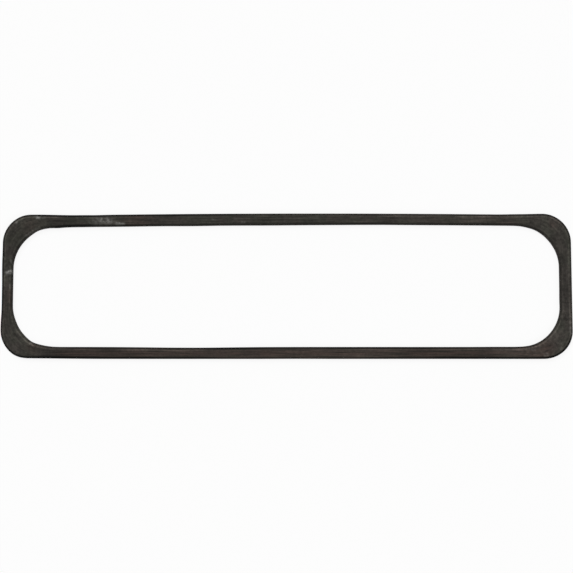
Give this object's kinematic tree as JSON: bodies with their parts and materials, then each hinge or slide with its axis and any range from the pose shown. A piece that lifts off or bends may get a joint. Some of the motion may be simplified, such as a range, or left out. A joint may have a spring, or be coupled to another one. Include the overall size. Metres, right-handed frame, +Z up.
{
  "type": "valve cover gasket",
  "caption": "Flat moulded rubber ring that seals a long valve cover to a V8 cylinder head, with rounded corners and a long open window.",
  "frame": {"origin": "under the centre of the ring's overall box, on the face it lies on", "axes": "+X along the ring's length, +Y across it towards the long rail that draws in between two eared corners, +Z up through the thickness"},
  "size_m": [0.4666, 0.1198, 0.0048],
  "materials": {
    "black_rubber": "moulded charcoal rubber, dull, with light rubbing marks"
  },
  "bodies": {
    "root": {"valve_cover_gasket": "black_rubber"}
  },
  "joints": []
}
